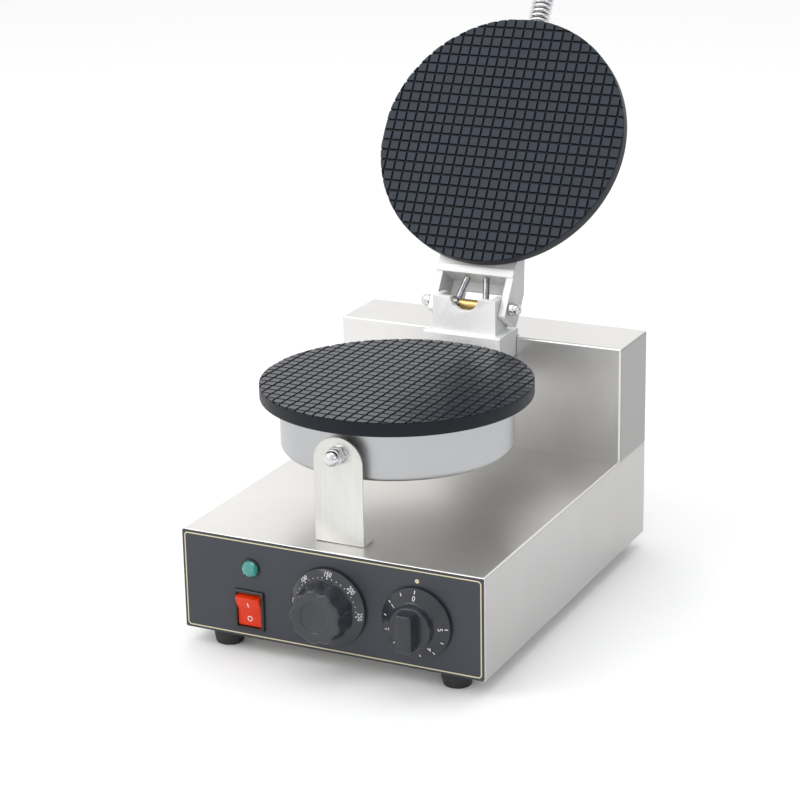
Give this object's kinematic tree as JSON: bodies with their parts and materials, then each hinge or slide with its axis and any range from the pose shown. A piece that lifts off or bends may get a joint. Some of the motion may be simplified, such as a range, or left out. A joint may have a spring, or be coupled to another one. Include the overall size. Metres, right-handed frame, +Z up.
{
  "type": "waffle cone maker",
  "caption": "Countertop waffle cone maker with a round fixed baking plate, a hinged upper plate with a coil handle, and a front control panel with switch, lamp, thermostat and timer dials.",
  "frame": {"origin": "on the surface that the rubber feet stand on, under the middle of the machine as it stands with its lid open", "axes": "+Z up, +X to the right seen from the front, -Y towards the control panel"},
  "size_m": [0.25, 0.4884, 0.5223],
  "materials": {
    "stainless": "fine brushed, satin",
    "can_steel": "smooth satin",
    "panel": "satin slate grey with a fine gold border line",
    "baking_plate": "dark slate non-stick coating",
    "casting": "raw sand casting",
    "chrome": "bright plating",
    "rod_steel": "turned",
    "zinc": "zinc plated",
    "brass": "turned, slightly tarnished",
    "copper": "drawn copper",
    "rubber": "moulded, dull",
    "knob_plastic": "glossy black with white numbers",
    "black_plastic": "moulded, satin",
    "rocker_red": "translucent red, white marks",
    "lens": "faceted green lens",
    "element_sheath": "heat darkened",
    "fibre": "pressed ceramic fibre",
    "ceramic": "glazed ceramic"
  },
  "bodies": {
    "base": {"base_housing": "stainless", "bottom_plate": "stainless", "bottom_screws": "zinc", "bracket_bolts": "zinc", "brass_bush": "brass", "cable_gland": "black_plastic", "capillary_tube": "copper", "control_panel": "panel", "earth_stud": "zinc", "eye_rods": "chrome", "foot_nuts": "zinc", "foot_screws": "zinc", "front_strap": "stainless", "gland_nut": "black_plastic", "hinge_bracket": "casting", "hinge_shaft": "chrome", "lamp_body": "black_plastic", "lamp_lens": "lens", "lamp_nut": "zinc", "lead_conduit": "rod_steel", "left_hinge_nut": "chrome", "lower_can_screws": "zinc", "lower_element": "element_sheath", "lower_heater_can": "can_steel", "lower_insulation": "fibre", "lower_plate": "baking_plate", "rear_panel": "stainless", "rear_screws": "zinc", "right_hinge_nut": "chrome", "rubber_feet": "rubber", "strap_acorn_nut": "chrome", "strap_bolt": "chrome", "strap_screws": "zinc", "strap_spacer": "chrome", "support_screws": "zinc", "switch_body": "black_plastic", "terminal_block": "ceramic", "thermostat": "black_plastic", "thermostat_bulb": "copper", "timer_body": "zinc", "tower_cover": "stainless", "tower_support": "zinc"},
    "lid": {"upper_plate": "baking_plate", "upper_heater_can": "can_steel", "upper_element": "element_sheath", "upper_insulation": "fibre", "upper_can_screws": "zinc", "lid_arm": "casting", "arm_bolts": "zinc", "handle_rod": "rod_steel", "handle_nuts": "chrome", "handle_coil": "chrome", "handle_cap": "chrome", "lead_grommet": "rubber"},
    "power_rocker": {"rocker": "rocker_red"},
    "temperature_dial": {"temperature_knob": "knob_plastic", "temperature_shaft": "rod_steel"},
    "timer_dial": {"timer_knob": "knob_plastic", "timer_shaft": "rod_steel"}
  },
  "joints": [
    {"name": "lid_hinge", "type": "hinge", "parent": "base", "child": "lid", "pos_m": [0, 0.036, 0.2146], "axis": [1, 0, 0], "range_deg": [0, 122.45]},
    {"name": "rocker_pivot", "type": "hinge", "parent": "base", "child": "power_rocker", "pos_m": [-0.068, -0.216, 0.036], "axis": [-1, 0, 0], "range_deg": [0, 24]},
    {"name": "temperature_turn", "type": "hinge", "parent": "base", "child": "temperature_dial", "pos_m": [0, -0.219, 0.0506], "axis": [0, -1, 0], "range_deg": [-125, 135]},
    {"name": "timer_turn", "type": "hinge", "parent": "base", "child": "timer_dial", "pos_m": [0.072, -0.219, 0.0506], "axis": [0, 1, 0], "range_deg": [0, 275], "stiffness_Nm_per_rad": 0.004}
  ]
}
